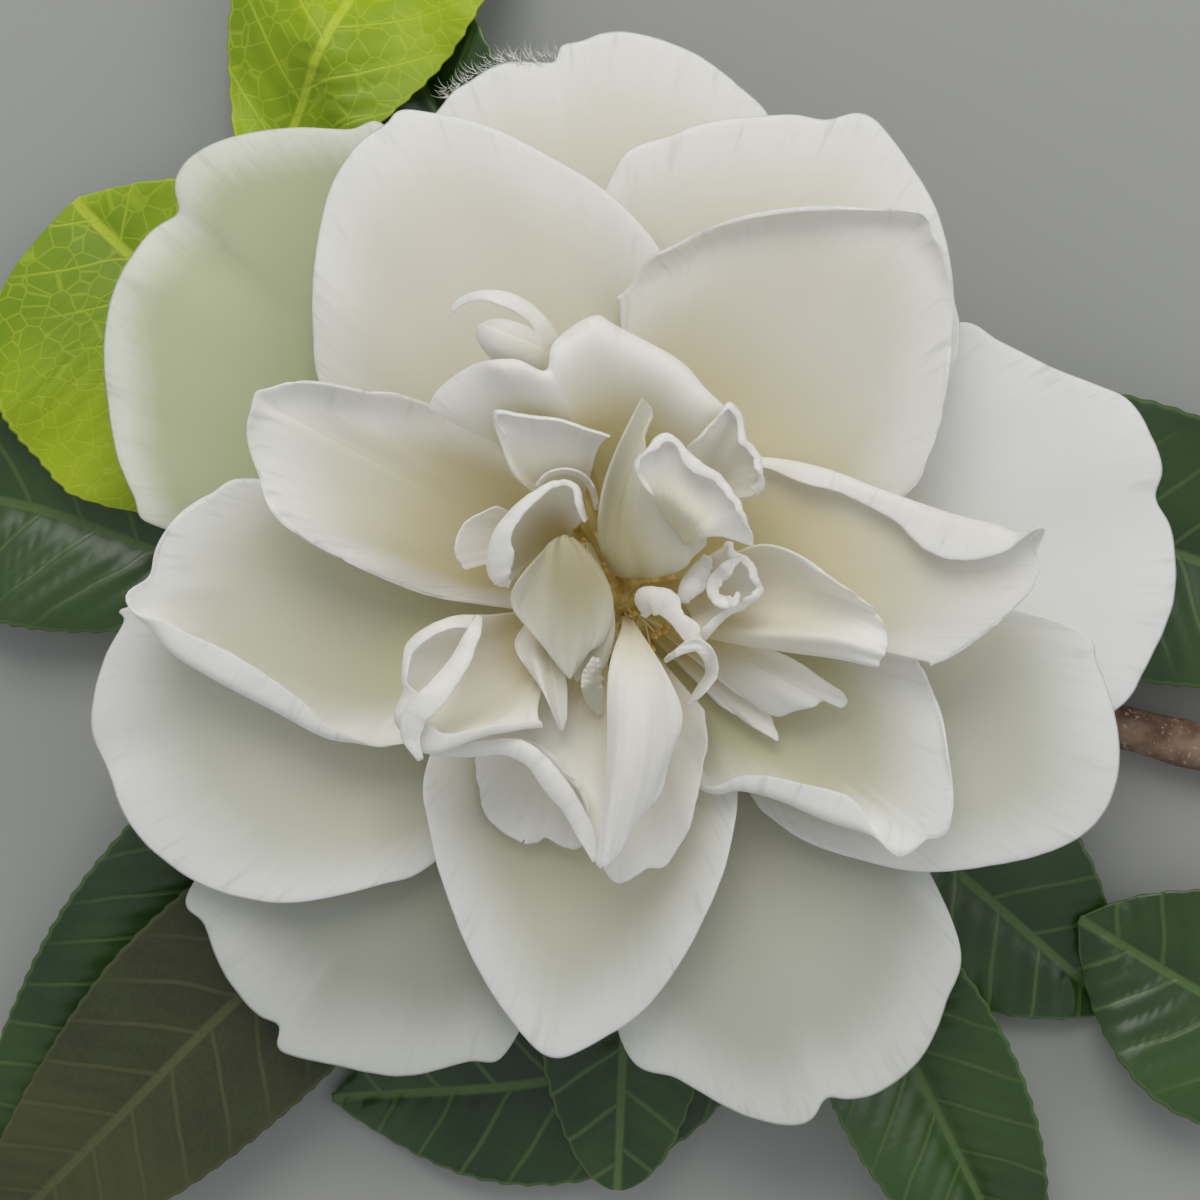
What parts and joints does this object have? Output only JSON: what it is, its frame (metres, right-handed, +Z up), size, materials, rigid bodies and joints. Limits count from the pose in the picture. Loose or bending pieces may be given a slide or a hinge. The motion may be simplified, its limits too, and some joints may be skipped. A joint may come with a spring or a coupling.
{
  "type": "cut camellia sprig",
  "caption": "Cut camellia sprig lying on its leaves: a large white double bloom face up on a short woody twig with side shoots and glossy leaves.",
  "frame": {"origin": "on the ground under the middle of the sprig's box, the level that its stem and leaf tips lie on", "axes": "+Z up, the way the bloom faces; +X along the longest side, towards the cut end of the stem; +Y to the upper edge of the picture"},
  "size_m": [0.191, 0.174, 0.0441],
  "materials": {
    "petal_white": "soft white petal with faint radial veins",
    "petaloid_cream": "soft cream white small petals",
    "stamen_gold": "matte golden stamens",
    "calyx_green": "matte green sepals with brown edges",
    "leaf_green": "glossy dark green leaf",
    "leaf_lime": "satin young lime green leaf",
    "twig_bark": "matte pinkish brown bark"
  },
  "bodies": {
    "root": {"stem": "twig_bark", "shoot_left": "twig_bark", "shoot_upper": "twig_bark", "shoot_lower": "twig_bark", "shoot_right": "twig_bark", "calyx": "calyx_green", "heart": "stamen_gold", "petal_bottom": "petal_white", "petal_left": "petal_white", "petal_left_front": "petal_white", "petal_left_lower": "petal_white", "petal_lower_left_back": "petal_white", "petal_lower_right": "petal_white", "petal_lower_right_back": "petal_white", "petal_lower_right_front": "petal_white", "petal_right_back": "petal_white", "petal_right_front": "petal_white", "petal_right_upper": "petal_white", "petal_top_back": "petal_white", "petal_upper_left": "petal_white", "petal_upper_left_back": "petal_white", "petal_upper_right": "petal_white", "petaloid_back_curl": "petaloid_cream", "petaloid_back_hood": "petaloid_cream", "petaloid_back_tail": "petaloid_cream", "petaloid_cross_flap": "petaloid_cream", "petaloid_curled_rim": "petaloid_cream", "petaloid_hood": "petaloid_cream", "petaloid_inner_leaf": "petaloid_cream", "petaloid_left_scrap": "petaloid_cream", "petaloid_long_front": "petaloid_cream", "petaloid_loop": "petaloid_cream", "petaloid_lower_back": "petaloid_cream", "petaloid_pale": "petaloid_cream", "petaloid_right": "petaloid_cream", "petaloid_right_lower": "petaloid_cream", "petaloid_right_scrap": "petaloid_cream", "petaloid_right_upper": "petaloid_cream", "petaloid_rosette": "petaloid_cream", "petaloid_tongue": "petaloid_cream", "petaloid_wavy": "petaloid_cream", "leaf_bottom_dark": "leaf_green", "leaf_bottom_pale": "leaf_green", "leaf_bottom_right": "leaf_green", "leaf_corner_back": "leaf_green", "leaf_corner_front": "leaf_green", "leaf_far_right": "leaf_green", "leaf_left": "leaf_green", "leaf_lime_left": "leaf_lime", "leaf_lime_top": "leaf_lime", "leaf_low_right": "leaf_green", "leaf_right": "leaf_green", "leaf_top_dark": "leaf_green", "leaf_top_small": "leaf_green"}
  },
  "joints": []
}
